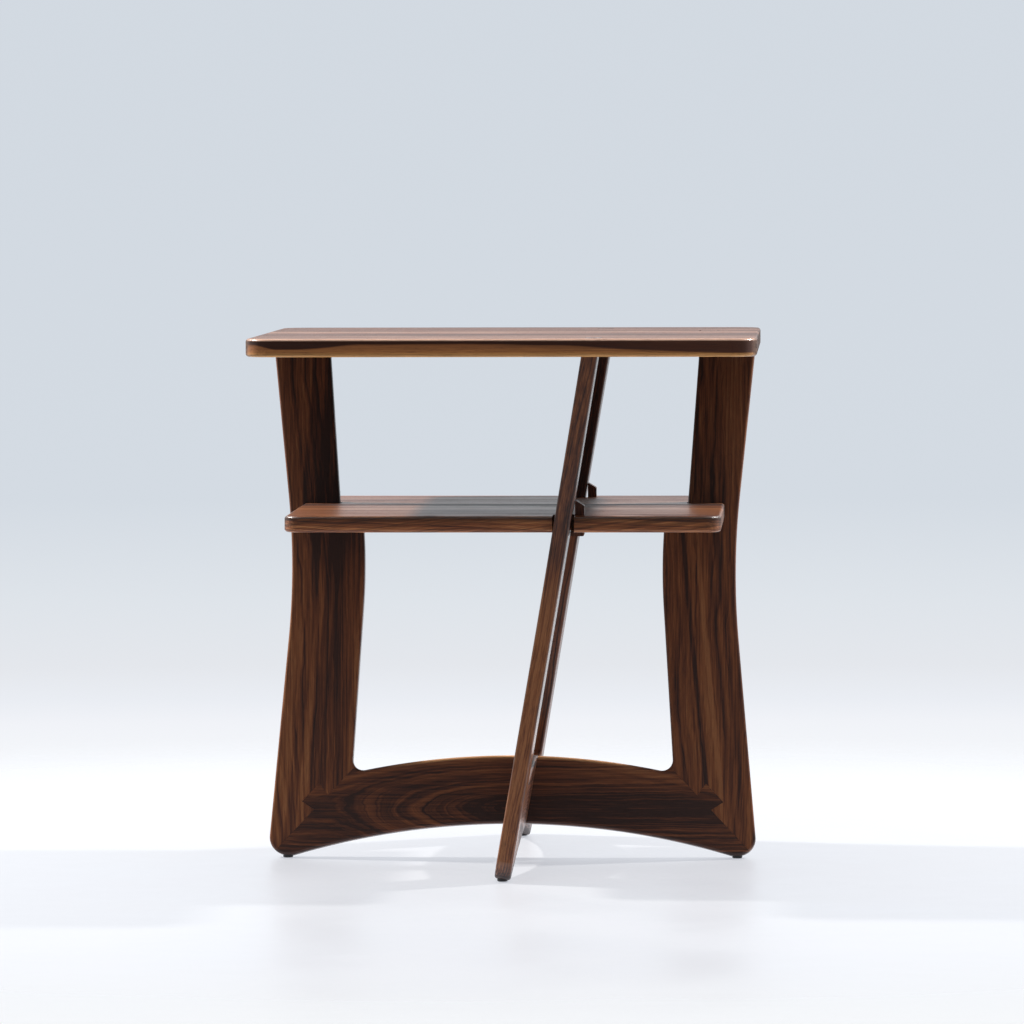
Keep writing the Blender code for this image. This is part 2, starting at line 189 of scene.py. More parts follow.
def evaluated_mesh(obj):
    """The object's shape with its curve or modifiers worked out."""
    bpy.context.view_layer.update()
    return bpy.data.meshes.new_from_object(obj.evaluated_get(bpy.context.evaluated_depsgraph_get()))


def add_plate(name, points, thickness):
    """A flat outline, thickened evenly to both sides of its plane."""
    curve = bpy.data.curves.new(name, "CURVE")
    curve.dimensions = "2D"
    curve.fill_mode = "BOTH"
    curve.extrude = thickness / 2
    spline = curve.splines.new("POLY")
    spline.points.add(len(points) - 1)
    for corner, point in zip(spline.points, points):
        corner.co = (point.x, point.y, 0, 1)
    spline.use_cyclic_u = True
    outline = add_object(name + "_outline", curve)
    mesh = evaluated_mesh(outline)
    bpy.data.objects.remove(outline)
    bm = bmesh.new()
    bm.from_mesh(mesh)
    bmesh.ops.remove_doubles(bm, verts=bm.verts, dist=MERGE)
    bmesh.ops.dissolve_limit(bm, angle_limit=FLAT_ANGLE, verts=bm.verts, edges=bm.edges)
    bmesh.ops.recalc_face_normals(bm, faces=bm.faces)
    bm.to_mesh(mesh)
    bm.free()
    mesh.materials.clear()
    return add_object(name, mesh)


def round_edges(obj, width, segments=5):
    bevel = obj.modifiers.new("round_edges", "BEVEL")
    bevel.width = width
    bevel.segments = segments
    bevel.limit_method = "ANGLE"
    bevel.angle_limit = math.radians(40)


def boolean(obj, other, operation="DIFFERENCE"):
    """Cuts an object by a cutter, or keeps only what the cutter holds."""
    other.hide_render = True
    CUTTERS.append(other)
    modifier = obj.modifiers.new(other.name, "BOOLEAN")
    modifier.operation = operation
    modifier.solver = "EXACT"
    modifier.object = other


def turned(name, profile, steps=40):
    """A turned piece about Z from (radius, z) points that run down its outer side."""
    bm = bmesh.new()
    verts = [bm.verts.new((radius, 0, z)) for radius, z in profile]
    for a, b in zip(verts, verts[1:]):
        bm.edges.new((a, b))
    mesh = bpy.data.meshes.new(name)
    bm.to_mesh(mesh)
    bm.free()
    obj = add_object(name, mesh)
    screw = obj.modifiers.new("turn", "SCREW")
    screw.steps = steps
    screw.render_steps = steps
    screw.use_merge_vertices = True
    screw.merge_threshold = MERGE
    return obj


def frame_turn(cross):
    return Matrix.Rotation(CROSS_TURN if cross else 0, 4, "Z")


def board_place(cross):
    return frame_turn(cross) @ Matrix.Rotation(math.pi / 2 - LEAN, 4, "X")


def turn_upright(middle):
    """Stands a plate up with its y along Z and its x along the frame's own y, at this u."""
    return Matrix(((0, 0, 1, middle), (1, 0, 0, 0), (0, 1, 0, 0), (0, 0, 0, 1)))


def place(obj, matrix):
    obj.matrix_world = matrix
    return obj


def leaning_box(name, cross, u, thickness, z):
    half = thickness / math.cos(LEAN) / 2
    obj = add_box(name, (u[0], -half, z[0]), (u[1], half, z[1]))
    shear = Matrix.Identity(4)
    shear[1][2] = LEAN_SLOPE
    obj.data.transform(shear)
    return place(obj, frame_turn(cross))


def upright_box(name, cross, u, y, z):
    return place(add_box(name, (u[0], y[0], z[0]), (u[1], y[1], z[1])), frame_turn(cross))


def across(side, inner, outer):
    return sorted((side * inner, side * outer))


def finished(obj, material, nodes):
    """Applies the modifiers, smooths the rounds, gives the finish and sets the piece on the frame."""
    mesh = evaluated_mesh(obj)
    mesh.transform(obj.matrix_world)
    obj.matrix_world = Matrix.Identity(4)
    obj.modifiers.clear()
    obj.data = mesh
    mesh.name = obj.name
    bm = bmesh.new()
    bm.from_mesh(mesh)
    bmesh.ops.remove_doubles(bm, verts=bm.verts, dist=FINE_MERGE)
    bmesh.ops.dissolve_degenerate(bm, edges=bm.edges, dist=FINE_MERGE)
    bm.to_mesh(mesh)
    bm.free()
    mesh.shade_smooth()
    mesh.set_sharp_from_angle(angle=SHARP_ANGLE)
    mesh.materials.clear()
    mesh.materials.append(material)
    weighted = obj.modifiers.new("even_shading", "WEIGHTED_NORMAL")
    weighted.keep_sharp = True
    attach(obj, "root")
    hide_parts(*nodes)
    return obj


# ---------------------------------------------------------------- outlines

def arc_tangents(middle, radius, half_span):
    """Where an arc's two end tangents meet above its middle, and how steeply they fall."""
    turn = math.asin(half_span / radius)
    return middle + radius * (1 / math.cos(turn) - 1), math.tan(turn)


def frame_outline():
    """One U-frame, legs, rail and heads, in its own plane."""
    arch_apex, arch_fall = arc_tangents(ARCH_W, ARCH_RADIUS, ARCH_SPAN)
    crest_apex, crest_fall = arc_tangents(CREST_W, CREST_RADIUS, CREST_SPAN)
    head_slope = (HEAD_INNER_U - SEAT_U) / (HEAD_W - SEAT_W)
    right = [
        ((arch_apex - FOOT_W) / arch_fall, FOOT_W, 0),
        (FOOT_U, FOOT_W, FOOT_ROUND),
        (WAIST_OUTER_U, WAIST_W, WAIST_OUTER_ROUND),
        (HEAD_OUTER_U, HEAD_W, 0),
        (HEAD_INNER_U, HEAD_W, 0),
        (SEAT_U, SEAT_W, 0),
        (WAIST_INNER_U + head_slope * (SEAT_W - WAIST_W), SEAT_W, 0),
        (WAIST_INNER_U, WAIST_W, WAIST_INNER_ROUND),
        (RAIL_CORNER_U, crest_apex - crest_fall * RAIL_CORNER_U, RAIL_CORNER_ROUND),
    ]
    left = [(-u, w, radius) for u, w, radius in reversed(right)]
    arch = (0, arch_apex, ARCH_RADIUS)
    crest = (0, crest_apex, CREST_RADIUS)
    return rounded_outline([arch, *right, crest, *left])


def mitre_line():
    along = (MITRE_OUTER - MITRE_INNER).normalized()
    out = Vector((-along.y, along.x))
    base_start = MITRE_INNER + along * TONGUE_START
    base_end = base_start + along * TONGUE_BASE
    return [
        MITRE_INNER - along * RUN_ON,
        base_start,
        base_start + out * TONGUE_LENGTH - along * TONGUE_FLARE,
        base_end + out * TONGUE_LENGTH + along * TONGUE_FLARE,
        base_end,
        MITRE_OUTER + along * RUN_ON,
    ]


def offset_line(points, distance):
    """The line moved sideways by a distance, to its left when positive, with its corners kept sharp."""
    moved = []
    for i, point in enumerate(points):
        before = (point - points[i - 1]).normalized() if i else None
        after = (points[i + 1] - point).normalized() if i + 1 < len(points) else None
        before, after = before or after, after or before
        normal_a = Vector((-before.y, before.x))
        normal_b = Vector((-after.y, after.x))
        middle = (normal_a + normal_b).normalized()
        moved.append(point + middle * distance / middle.dot(normal_a))
    return moved


def mirrored(points):
    return [Vector((-point.x, point.y)) for point in reversed(points)]


def leg_region(side):
    line = offset_line(mitre_line(), JOINT / 2)
    region = [*line, Vector((FAR, line[-1].y)), Vector((FAR, FAR)), Vector((line[0].x, FAR))]
    return region if side > 0 else mirrored(region)


def rail_region():
    line = offset_line(mitre_line(), -JOINT / 2)
    return [*line, *mirrored(line)]


# ---------------------------------------------------------------- materials

def fill_ramp(ramp, stops):
    """Gives a new two-ended ramp its (position, colour) stops, in rising order."""
    ramp.elements[0].position = stops[0][0]
    ramp.elements[1].position = stops[-1][0]
    for position, _ in stops[1:-1]:
        ramp.elements.new(position)
    for element, (_, colour) in zip(ramp.elements, stops):
        element.color = (*colour, 1.0)


class Graph:
    """A material's nodes, with short calls for the ones used here."""

    def __init__(self, name):
        self.material = bpy.data.materials.new(name)
        self.material.use_nodes = True
        self.tree = self.material.node_tree
        self.shader = self.tree.nodes["Principled BSDF"]

    def node(self, kind, inputs=None, **settings):
        node = self.tree.nodes.new("ShaderNode" + kind)
        for key, value in settings.items():
            setattr(node, key, value)
        for key, value in (inputs or {}).items():
            self.feed(node.inputs[key], value)
        return node

    def feed(self, socket, value):
        if isinstance(value, bpy.types.NodeSocket):
            self.tree.links.new(value, socket)
        else:
            socket.default_value = value

    def math(self, operation, *values):
        node = self.node("Math", operation=operation)
        for socket, value in zip(node.inputs, values):
            self.feed(socket, value)
        return node.outputs[0]

    def length(self, x, y):
        return self.math("SQRT", self.math("ADD", self.math("MULTIPLY", x, x), self.math("MULTIPLY", y, y)))

    def centred(self, value):
        return self.math("SUBTRACT", value, 0.5)

    def vector(self, x, y, z):
        return self.node("CombineXYZ", {"X": x, "Y": y, "Z": z}).outputs[0]

    def stretched(self, spot, waves, shift=0.0):
        """Noise space with its waves per metre along the board, and across it and in depth."""
        along, side, depth = spot
        return self.vector(self.math("MULTIPLY", along, waves[0]), self.math("MULTIPLY", side, waves[1]),
                           self.math("MULTIPLY_ADD", depth, waves[1], shift))

    def noise(self, vector, detail=2.0, roughness=0.5, scale=1.0):
        node = self.node("TexNoise", {"Vector": vector, "Scale": scale, "Detail": detail,
                                      "Roughness": roughness})
        return node.outputs["Fac"]

    def line_noise(self, w, detail=2.0, roughness=0.5):
        node = self.node("TexNoise", noise_dimensions="1D",
                         inputs={"W": w, "Scale": 1.0, "Detail": detail, "Roughness": roughness})
        return node.outputs["Fac"]

    def spread(self, value, low, high, to_low=0.0, to_high=1.0, smooth=True):
        node = self.node("MapRange", {"Value": value, "From Min": low, "From Max": high,
                                      "To Min": to_low, "To Max": to_high},
                         interpolation_type="SMOOTHSTEP" if smooth else "LINEAR")
        return node.outputs["Result"]

    def ramp(self, value, stops):
        node = self.node("ValToRGB", {"Fac": value})
        node.color_ramp.interpolation = "EASE"
        fill_ramp(node.color_ramp, stops)
        return node.outputs["Color"]

    def mix(self, factor, a, b, blend="MIX"):
        node = self.node("Mix", data_type="RGBA", blend_type=blend)
        for socket, value in ((node.inputs[0], factor), (node.inputs[6], a), (node.inputs[7], b)):
            self.feed(socket, (*value, 1.0) if isinstance(value, tuple) else value)
        return node.outputs[2]


# Tone to colour
HEARTWOOD = [
    (0.24, (0.027, 0.0064, 0.0026)),
    (0.40, (0.080, 0.0215, 0.0078)),
    (0.52, (0.142, 0.0425, 0.0150)),
    (0.64, (0.202, 0.0680, 0.0245)),
    (0.82, (0.292, 0.1150, 0.0450)),
]
# The lacquered top is less red
PANEL_WOOD = [(at, (0.87 * red, 1.07 * green, 1.35 * blue)) for at, (red, green, blue) in HEARTWOOD]


def leaning_lines(lean):
    """Across a leg, leaning like its outer edge."""
    return lambda g, split: g.math("MULTIPLY_ADD", split[1], lean, split[0])


def crest_lines(g, split):
    """How far below the rail's crest, so that the stripes follow its curve."""
    w = g.math("SUBTRACT", split[1], CREST_W - CREST_RADIUS)
    return g.math("SUBTRACT", CREST_RADIUS, g.length(split[0], w))


def straight_lines(g, split):
    """Across a stave."""
    return split[1]


def striped(g, tone, where, wander, stops):
    """Tone with broad stripes of its own: stops are (place in millimetres, change of tone)."""
    low, high = stops[0][0], stops[-1][0]
    where = g.math("MULTIPLY_ADD", g.centred(wander), STRIPE_WANDER, where)
    grey = g.ramp(g.spread(where, low * MM, high * MM, smooth=False),
                  [((at - low) / (high - low), (0.5 + change,) * 3) for at, change in stops])
    return g.math("ADD", tone, g.centred(grey))


# The wood's figure, as waves per metre: along the fibres, then across them or across the growth rings
BEND_WAVES = (2.2, 7.0)             # slow bends of the rings
RIPPLE_WAVES = (26.0, 62.0)         # quick ones
BROAD_WAVES = 44.0                  # light and dark bands of many rings
STREAK_WAVES = (2.2, 380.0)         # streaks that follow the rings
CLOUD_WAVES = (5.0, 16.0)           # soft patches
HAIR_WAVES = (13.0, 470.0)          # streaks that follow the fibres
WOBBLE_WAVES = 95.0                 # uneven width of the rings
FIBRE_WAVES = (34.0, 1150.0)
PORE_WAVES = (90.0, 2300.0)
# How far the slow bends reach, across and in depth
BEND_SIDE = 44 * MM
BEND_DEPTH = 36 * MM
STRIPE_WANDER = 10 * MM             # how far stripes bend with the rings
ARCH_EASE = 40 * MM                 # how softly the arches start and end
# How much each part of the figure moves the tone, which runs from 0 to 1
BROAD_SHARE = 0.74
STREAK_SHARE = 1.0
CLOUD_SHARE = 0.24
HAIR_SHARE = 0.80
LATE_SHARE = -0.14                  # the dark end of each year's growth
FOOT_SHADE_FADE = (3 * MM, 26 * MM)       # heights between which the painted shade at a foot, near the floor, fades out
UNDER_TOP_SHADE_FADE = 120 * MM               # below the shelf, where the painted shade on the legs under the top fades in
# Surface
PORE_DARK = -0.38
PORE_DULL = 0.22
END_DARK = 0.52
END_DULL = 0.30
OIL_ROUGHNESS = 0.22
PORE_DEPTH = 0.12 * MM


def ring_radius(g, spot, pith, tilt, arches, drift, ripple, seed):
    """Distance from the tree's heart, and the bend that the rings share with the stripes."""
    along, side, depth = spot
    bend = g.node("TexNoise", {"Vector": g.stretched(spot, BEND_WAVES, seed), "Scale": 1.0, "Detail": 5.0})
    bend = g.node("SeparateXYZ", {"Vector": bend.outputs["Color"]}).outputs
    slide = along
    if arches is not None:
        slide = g.math("SMOOTH_MIN", along, arches[1], ARCH_EASE)
        slide = g.math("SUBTRACT", g.math("SMOOTH_MAX", slide, arches[0], ARCH_EASE), arches[1])
    bend_side = BEND_SIDE * drift
    bend_depth = BEND_DEPTH * drift
    x = g.math("ADD", g.math("MULTIPLY_ADD", bend[0], bend_side, -bend_side / 2 - pith[0]), side)
    y = g.math("ADD", g.math("MULTIPLY_ADD", bend[1], bend_depth, -bend_depth / 2 - pith[1]), depth)
    radius = g.length(x, g.math("MULTIPLY_ADD", slide, tilt, y))
    if ripple:
        waves = g.noise(g.vector(g.math("MULTIPLY", along, RIPPLE_WAVES[0]),
                                 g.math("MULTIPLY", side, RIPPLE_WAVES[1]), seed + 8.0), detail=2.0)
        radius = g.math("MULTIPLY_ADD", g.centred(waves), 2 * ripple, radius)
    return radius, bend[0]


def ring_tone(g, spot, radius, rings, shade, contrast, broad_share, seed):
    """Light and dark, from the growth rings and the fibres."""
    along = spot[0]
    broad = g.line_noise(g.math("MULTIPLY_ADD", radius, BROAD_WAVES, seed), detail=3.0, roughness=0.6)
    tone = g.math("MULTIPLY_ADD", g.centred(broad), BROAD_SHARE * contrast * broad_share, 0.5 + shade)
    streak = g.noise(g.vector(g.math("MULTIPLY_ADD", along, STREAK_WAVES[0], seed),
                              g.math("MULTIPLY", radius, STREAK_WAVES[1]), seed), detail=4.0, roughness=0.65)
    tone = g.math("MULTIPLY_ADD", g.centred(streak), STREAK_SHARE * contrast, tone)
    cloud = g.noise(g.stretched(spot, CLOUD_WAVES, seed + 5.0), detail=1.0)
    tone = g.math("MULTIPLY_ADD", g.centred(cloud), CLOUD_SHARE, tone)
    hair = g.noise(g.stretched(spot, HAIR_WAVES, seed), detail=3.0, roughness=0.6)
    tone = g.math("MULTIPLY_ADD", g.centred(hair), HAIR_SHARE * contrast, tone)
    wobble = g.math("MULTIPLY", g.line_noise(g.math("MULTIPLY_ADD", radius, WOBBLE_WAVES, seed + 3.0)), 1.7)
    ring = g.math("FRACT", g.math("MULTIPLY_ADD", radius, rings, wobble))
    late = g.math("MULTIPLY", g.spread(ring, 0.62, 0.97), g.spread(ring, 1.0, 0.97))
    return g.math("MULTIPLY_ADD", late, LATE_SHARE * contrast, tone)


def walnut(name, grain, matrix, pith, tilt=0.0, arches=None, core=None, rings=230.0, shade=0.0, high=0.0,
           low=0.0, seed=0.0, contrast=1.0, broad_share=1.0, drift=1.0, ripple=0.0, rough=0.40, shine=0.45,
           oil=0.3, lines=straight_lines, stripes=None, band=None, palette=HEARTWOOD):
    """Oiled walnut as a solid, so that faces, edges and end grain belong together.

    grain is the axis of the fibres in the board's own space, which matrix places in the world. pith is where
    the tree's heart lies, across and in depth, and tilt how fast it slides in depth along the grain, which
    draws arches on the face; arches is where along the grain that slide starts and ends. core is how much
    darker the heart is and where it fades out, and rings is growth rings per metre. shade moves the tone. high
    is painted shade on the legs above the shelf, under the top, and low is painted shade at the foot, near the
    floor. drift bends the rings and ripple makes them wavy. stripes are laid across the board by lines, and
    band finishes an edge, with its painted highlight and painted shade where it has them.
    """
    g = Graph(name)
    where = g.node("TexCoord").outputs
    turn = matrix.to_euler()
    board = g.node("Mapping", {"Vector": where["Object"], "Location": matrix.translation, "Rotation": turn},
                   vector_type="TEXTURE").outputs[0]
    faced = g.node("Mapping", {"Vector": where["Normal"], "Rotation": turn}, vector_type="TEXTURE").outputs[0]
    split = g.node("SeparateXYZ", {"Vector": board}).outputs
    facing = g.node("SeparateXYZ", {"Vector": faced}).outputs
    spot = (split[0], split[1], split[2]) if grain == "X" else (split[1], split[0], split[2])
    end = g.spread(g.math("ABSOLUTE", facing[0] if grain == "X" else facing[1]), 0.80, 0.97)

    radius, wander = ring_radius(g, spot, pith, tilt, arches, drift, ripple, seed)
    tone = ring_tone(g, spot, radius, rings, shade, contrast, broad_share, seed)
    # high: painted shade on the legs above the shelf, where the top shades them
    if high:
        tone = g.math("ADD", tone, g.spread(spot[0], SEAT_W - UNDER_TOP_SHADE_FADE, SEAT_W, 0.0, high))
    # low: painted shade at the foot, near the floor, fading out upwards
    if low:
        tone = g.math("ADD", tone, g.spread(split[1], *FOOT_SHADE_FADE, low, 0.0))
    if core is not None:
        darker, inner, outer = core
        tone = g.math("ADD", tone, g.spread(radius, inner, outer, -darker, 0.0))
    if stripes is not None:
        tone = striped(g, tone, lines(g, split), wander, stripes)
    colour = g.ramp(tone, palette)
    if band is not None:
        colour = band(g, colour, split, tone)

    fibre = g.noise(g.stretched(spot, FIBRE_WAVES), detail=2.0, roughness=0.6)
    pore = g.spread(g.noise(g.stretched(spot, PORE_WAVES), detail=1.0), 0.60, 0.72)
    fleck = g.math("MULTIPLY_ADD", pore, PORE_DARK, g.spread(fibre, 0.25, 0.75, 0.80, 1.20, smooth=False))
    fleck = g.math("MULTIPLY", fleck, g.spread(end, 0.0, 1.0, 1.0, END_DARK))
    g.feed(g.shader.inputs["Base Color"], g.mix(1.0, colour, g.vector(fleck, fleck, fleck), "MULTIPLY"))
    dull = g.math("MULTIPLY_ADD", end, END_DULL, g.spread(tone, 0.2, 0.8, rough + 0.14, rough - 0.08))
    g.feed(g.shader.inputs["Roughness"], g.math("MULTIPLY_ADD", pore, PORE_DULL, dull))
    g.shader.inputs["Specular IOR Level"].default_value = shine
    g.shader.inputs["Coat Weight"].default_value = oil
    g.shader.inputs["Coat Roughness"].default_value = OIL_ROUGHNESS
    height = g.math("MULTIPLY_ADD", pore, -1.0, g.math("MULTIPLY", fibre, 0.45))
    bump = g.node("Bump", {"Height": height, "Strength": 0.35, "Distance": PORE_DEPTH})
    g.feed(g.shader.inputs["Normal"], bump.outputs[0])
    return g.material


EDGE_DATUM = 10 * MM                # above the middle of a panel, where depths on its edges start
UNDER_RIM = (0.042, 0.0128, 0.0062)
UNDER_RIM_RIGHT = (0.078, 0.026, 0.014)
# painted highlight on the top's upper front rounding
TOP_RIM_HIGHLIGHT = (0.40, 0.23, 0.155)
# painted golden highlight on the rail's crest
CREST_HIGHLIGHT = (0.64, 0.33, 0.15)


def front_zone(g, y, half_side):
    """1 on the front edge of a panel, fading out a little behind it."""
    return g.spread(y, 26 * MM - half_side, 12 * MM - half_side)


def top_front_edge(g, colour, split, tone):
    """A painted highlight on the upper rounding, then a very dark line under it, deeper to the right, over
    golden sapwood at the bottom.
    """
    x, y = split[0], split[1]
    depth = g.math("SUBTRACT", EDGE_DATUM, split[2])
    wave = g.noise(g.vector(g.math("MULTIPLY", x, 9.0), 3.0, 1.0), detail=2.0)
    reach = g.spread(x, 0.0, 0.25, 0.0, 9.0 * MM)
    pocket = g.math("MULTIPLY", g.spread(x, -0.275, -0.245), g.spread(x, -0.15, -0.225))
    reach = g.math("MULTIPLY_ADD", pocket, 5.5 * MM, reach)
    reach = g.math("MULTIPLY_ADD", g.centred(wave), 5.0 * MM, reach)
    above = g.math("SUBTRACT", depth, reach)
    sapwood = g.ramp(g.spread(depth, 5 * MM, 20 * MM, smooth=False), [
        (0.0, (0.170, 0.062, 0.022)), (0.25, (0.240, 0.092, 0.033)), (0.62, (0.300, 0.120, 0.040)),
        (0.78, (0.430, 0.200, 0.064)), (1.0, (0.620, 0.320, 0.112))])
    streaks = g.spread(tone, 0.25, 0.65, 0.60, 1.35, smooth=False)
    sapwood = g.mix(1.0, sapwood, g.vector(streaks, streaks, streaks), "MULTIPLY")
    dark = g.mix(g.spread(x, 0.05, 0.22), UNDER_RIM, UNDER_RIM_RIGHT)
    edge = g.mix(g.spread(above, 5.0 * MM, 7.2 * MM), dark, sapwood)
    near = front_zone(g, y, TOP_SIDE / 2)
    # painted highlight along the front's upper rounding
    highlight = g.math("MULTIPLY", near, g.spread(depth, 0.02 * MM, 0.3 * MM))
    colour = g.mix(highlight, colour, TOP_RIM_HIGHLIGHT)
    return g.mix(g.math("MULTIPLY", near, g.spread(depth, 1.7 * MM, 2.8 * MM)), colour, edge)


def crest_highlight(g, colour, split, tone):
    """Painted golden highlight along the rounded top of the rail, where the side lights catch it, fading out
    towards its ends.
    """
    highlight = g.math("MULTIPLY", g.spread(crest_lines(g, split), 4.4 * MM, 1.8 * MM),
                 g.spread(g.math("ABSOLUTE", split[0]), 0.155, 0.095))
    return g.mix(highlight, colour, CREST_HIGHLIGHT)


def shelf_front_edge_shade(g, colour, split, tone):
    """Painted shade from the top above: dark under the upper rounding and lighter downwards, with slanting
    streaks.
    """
    x, y, z = split[0], split[1], split[2]
    depth = g.math("SUBTRACT", EDGE_DATUM, z)
    slope = g.math("MULTIPLY_ADD", x, -75.0, g.math("MULTIPLY", z, 520.0))
    slant = g.noise(g.vector(g.math("MULTIPLY", x, 16.0), slope, 7.0), detail=3.0)
    shades = [(0.0, 0.34), (0.06, 0.13), (0.15, 0.30), (0.40, 0.62), (1.0, 1.0)]
    # painted shade, darkest just under the upper rounding
    level = g.ramp(g.spread(depth, 1.5 * MM, 20 * MM, smooth=False),
                   [(at, (grey,) * 3) for at, grey in shades])
    level = g.math("MULTIPLY", level, g.spread(slant, 0.3, 0.7, 0.80, 2.6, smooth=False))
    edge = g.mix(1.0, colour, g.vector(level, level, level), "MULTIPLY")
    edge_only = g.math("MULTIPLY", front_zone(g, y, SHELF_SIDE / 2), g.spread(depth, 0.8 * MM, 1.8 * MM))
    return g.mix(edge_only, colour, edge)


def plastic():
    g = Graph("black_plastic_fine")
    where = g.node("TexCoord").outputs["Object"]
    grain = g.noise(where, detail=3.0, roughness=0.6, scale=2600.0)
    colour = g.ramp(grain, [(0.3, (0.009, 0.009, 0.010)), (0.7, (0.017, 0.017, 0.018))])
    g.feed(g.shader.inputs["Base Color"], colour)
    g.feed(g.shader.inputs["Roughness"], g.spread(grain, 0.3, 0.7, 0.36, 0.5))
    bump = g.node("Bump", {"Height": grain, "Strength": 0.25, "Distance": 0.05 * MM})
    g.feed(g.shader.inputs["Normal"], bump.outputs[0])
    return g.material


def bright_steel():
    g = Graph("steel_fine")
    where = g.node("SeparateXYZ", {"Vector": g.node("TexCoord").outputs["Object"]}).outputs
    brushed = g.noise(g.vector(g.math("MULTIPLY", where[0], 900.0), g.math("MULTIPLY", where[1], 900.0),
                               g.math("MULTIPLY", where[2], 9000.0)), detail=2.0)
    colour = g.ramp(brushed, [(0.3, (0.44, 0.44, 0.45)), (0.7, (0.62, 0.62, 0.63))])
    g.feed(g.shader.inputs["Base Color"], colour)
    g.feed(g.shader.inputs["Roughness"], g.spread(brushed, 0.3, 0.7, 0.24, 0.38))
    g.shader.inputs["Metallic"].default_value = 1.0
    return g.material


# ---------------------------------------------------------------- frames

LEGS = {                            # node: cross frame, side, short name
    "main_leg_left": (False, -1, "left"),
    "main_leg_right": (False, 1, "right"),
    "cross_leg_front": (True, 1, "front"),
    "cross_leg_back": (True, -1, "back"),
}
# Each board's wood, as walnut() reads it; high is painted shade under the top and low painted shade at the
# foot
LEG_WOOD = {
    "main_leg_left": dict(
        pith=(-0.335, -0.16), tilt=0.02, shade=0.085, high=-0.26, low=-0.16, seed=3.1, broad_share=0.35,
        lines=leaning_lines(-0.085),
        stripes=[(-293, 0.20), (-281, 0.18), (-278, 0.06), (-265, 0.08), (-261, -0.10), (-253, -0.11),
                 (-250, 0.09), (-245, 0.07), (-240, -0.16), (-232, -0.10), (-229, -0.22), (-225, -0.10),
                 (-217, -0.06), (-203, -0.06), (-197, 0.09), (-173, 0.02)]),
    "main_leg_right": dict(
        pith=(0.12, -0.20), tilt=-0.02, shade=0.06, high=-0.05, low=-0.06, seed=11.7, broad_share=0.35,
        lines=leaning_lines(0.09),
        stripes=[(180, 0.0), (203, 0.0), (206, -0.10), (209, -0.03), (225, -0.03), (227, -0.26), (230, -0.24),
                 (232, 0.05), (240, 0.06), (242, 0.30), (245, 0.28), (247, 0.08), (256, -0.07), (261, 0.06),
                 (267, -0.09), (273, 0.08), (279, -0.04), (287, 0.08)]),
    "cross_leg_front": dict(
        pith=(0.10, -0.35), tilt=0.012, shade=0.25, high=-0.32, low=-0.42, seed=21.3, contrast=1.15,
        broad_share=0.5, oil=0.6, rings=330.0),
    "cross_leg_back": dict(pith=(-0.15, -0.18), tilt=0.02, shade=-0.02, low=-0.2, seed=31.9),
}
# low is painted shade at the feet; the main rail's band is a painted highlight on its crest
RAIL_WOOD = {
    False: dict(
        pith=(0.056, 0.009), tilt=0.24, arches=(-0.19, 0.03), core=(0.16, 14 * MM, 21 * MM), shade=-0.02,
        low=-0.12, seed=7.7, broad_share=0.6, drift=0.5, ripple=2.6 * MM, lines=crest_lines, band=crest_highlight,
        stripes=[(0, 0.0), (3, 0.12), (5, 0.24), (10, 0.18), (13, 0.02), (16, 0.10), (19, 0.08), (22, 0.0),
                 (28, -0.05), (80, -0.05)]),
    True: dict(pith=(0.03, -0.05), tilt=-0.12, shade=-0.02, low=-0.3, seed=44.2),
}
FRAME_OUTLINE = frame_outline()


def frame_piece(name, cross, region):
    """The part of the frame blank that lies inside a region of its plane."""
    piece = add_plate(name, FRAME_OUTLINE, BOARD)
    round_edges(piece, BOARD_ROUND)
    place(piece, board_place(cross))
    keep = add_plate(name + "_region", region, 4 * BOARD)
    boolean(piece, place(keep, board_place(cross)), "INTERSECT")
    return piece


def tenon_middle(side):
    return side * (TENON_OUTER_U + TENON_INNER_U) / 2


def shape_leg(leg, cross, side, name):
    everywhere = (-FAR, FAR)
    above = (TOP_UNDER_Z - JOINT, FAR)
    cuts = [
        ("seat", across(side, SEAT_START, SEAT_U), (SHELF_UNDER_Z - JOINT, SHELF_TOP_Z)),
        ("shoulder", across(side, TENON_OUTER_U, FAR), above),
        ("inside", across(side, SEAT_START, TENON_INNER_U), above),
        ("top", everywhere, (HEIGHT, FAR)),
    ]
    for cut, u, heights in cuts:
        boolean(leg, upright_box(f"{name}_{cut}", cross, u, everywhere, heights))
    depth = (HEIGHT - WEDGE_DEPTH - JOINT, FAR)
    if cross:
        u = across(side, TENON_INNER_U - CLEAR, TENON_OUTER_U + CLEAR)
        kerf = leaning_box(name + "_kerf", cross, u, KERF, depth)
    else:
        middle = tenon_middle(side)
        kerf = leaning_box(name + "_kerf", cross, (middle - KERF / 2, middle + KERF / 2), 2 * BOARD, depth)
    boolean(leg, kerf)


def add_wedge(short, cross, side):
    name = "wedge_" + short
    low = (HEIGHT - WEDGE_DEPTH + BOARD / 2 * math.sin(LEAN)) / math.cos(LEAN)
    taper = [Vector((-WEDGE_TIP / 2, low)), Vector((WEDGE_TIP / 2, low)),
             Vector((WEDGE_THICK / 2, HEAD_W)), Vector((-WEDGE_THICK / 2, HEAD_W))]
    middle = tenon_middle(side)
    if cross:
        wedge = add_plate(name, taper, TENON_OUTER_U - TENON_INNER_U)
        spot = frame_turn(cross) @ Matrix.Rotation(-LEAN, 4, "X") @ turn_upright(middle)
    else:
        wedge = add_plate(name, taper, BOARD)
        spot = board_place(cross) @ Matrix.Translation((middle, 0, 0))
    place(wedge, spot)
    boolean(wedge, upright_box(name + "_trim", cross, (-FAR, FAR), (-FAR, FAR), (HEIGHT, FAR)))
    finished(wedge, key_wood(name, spot), ["tenon_wedge_" + short])


def glide_spot(cross, side):
    return frame_turn(cross) @ Matrix.Translation((side * GLIDE_U, FOOT_W * LEAN_SLOPE, 0))


